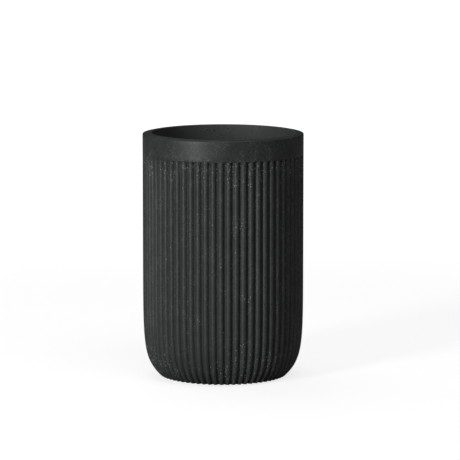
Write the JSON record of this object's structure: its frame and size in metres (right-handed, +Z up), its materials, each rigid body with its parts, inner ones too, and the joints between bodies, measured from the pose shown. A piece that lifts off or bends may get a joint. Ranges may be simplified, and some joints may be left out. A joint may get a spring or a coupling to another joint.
{
  "type": "toothbrush holder",
  "caption": "Open cast tumbler for toothbrushes with a smooth rim band, rounded vertical ribs, a rounded lower corner and a rubber pad under its flat base.",
  "frame": {"origin": "centre of the underside of the rubber pad, where the holder stands", "axes": "+Z up along the tumbler's axis towards its open mouth; -Y is the side that faces the viewer; the holder looks the same from every side"},
  "size_m": [0.07, 0.07, 0.107],
  "materials": {
    "cast_stone": "matte black cast stone resin with fine pale specks",
    "pad_rubber": "dull non-slip rubber",
    "tape": "matte adhesive film"
  },
  "bodies": {
    "root": {"tumbler": "cast_stone", "base_pad": "pad_rubber", "pad_tape": "tape"}
  },
  "joints": []
}
